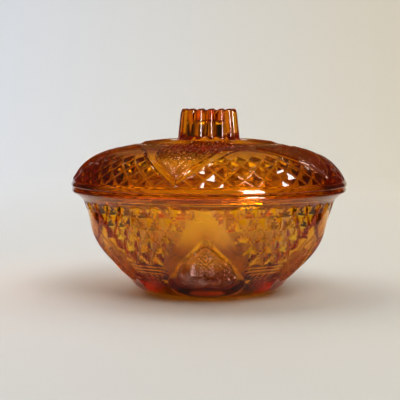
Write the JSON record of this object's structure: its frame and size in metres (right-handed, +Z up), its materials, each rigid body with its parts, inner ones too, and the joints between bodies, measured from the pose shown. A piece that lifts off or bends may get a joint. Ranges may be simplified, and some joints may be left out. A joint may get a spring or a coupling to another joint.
{
  "type": "lidded candy dish",
  "caption": "Round pressed-glass bowl on a low foot with a loose domed lid and fluted knob, in amber with petal panels and sunk diamonds; holds sweets.",
  "frame": {"origin": "centre of the foot ring, on the surface that the dish stands on", "axes": "+Z up along the dish's axis, through the knob; -Y is the front, where one petal panel of the bowl faces"},
  "size_m": [0.1648, 0.1648, 0.11],
  "materials": {
    "amber_glass": "fire-polished pressed glass, clear amber, smooth inside and patterned outside"
  },
  "bodies": {
    "bowl": {"bowl": "amber_glass"},
    "lid": {"lid": "amber_glass"}
  },
  "joints": [
    {"name": "lid_lift", "type": "slide", "parent": "bowl", "child": "lid", "axis": [0, 0, 1], "range_m": [0, 0.12]}
  ]
}
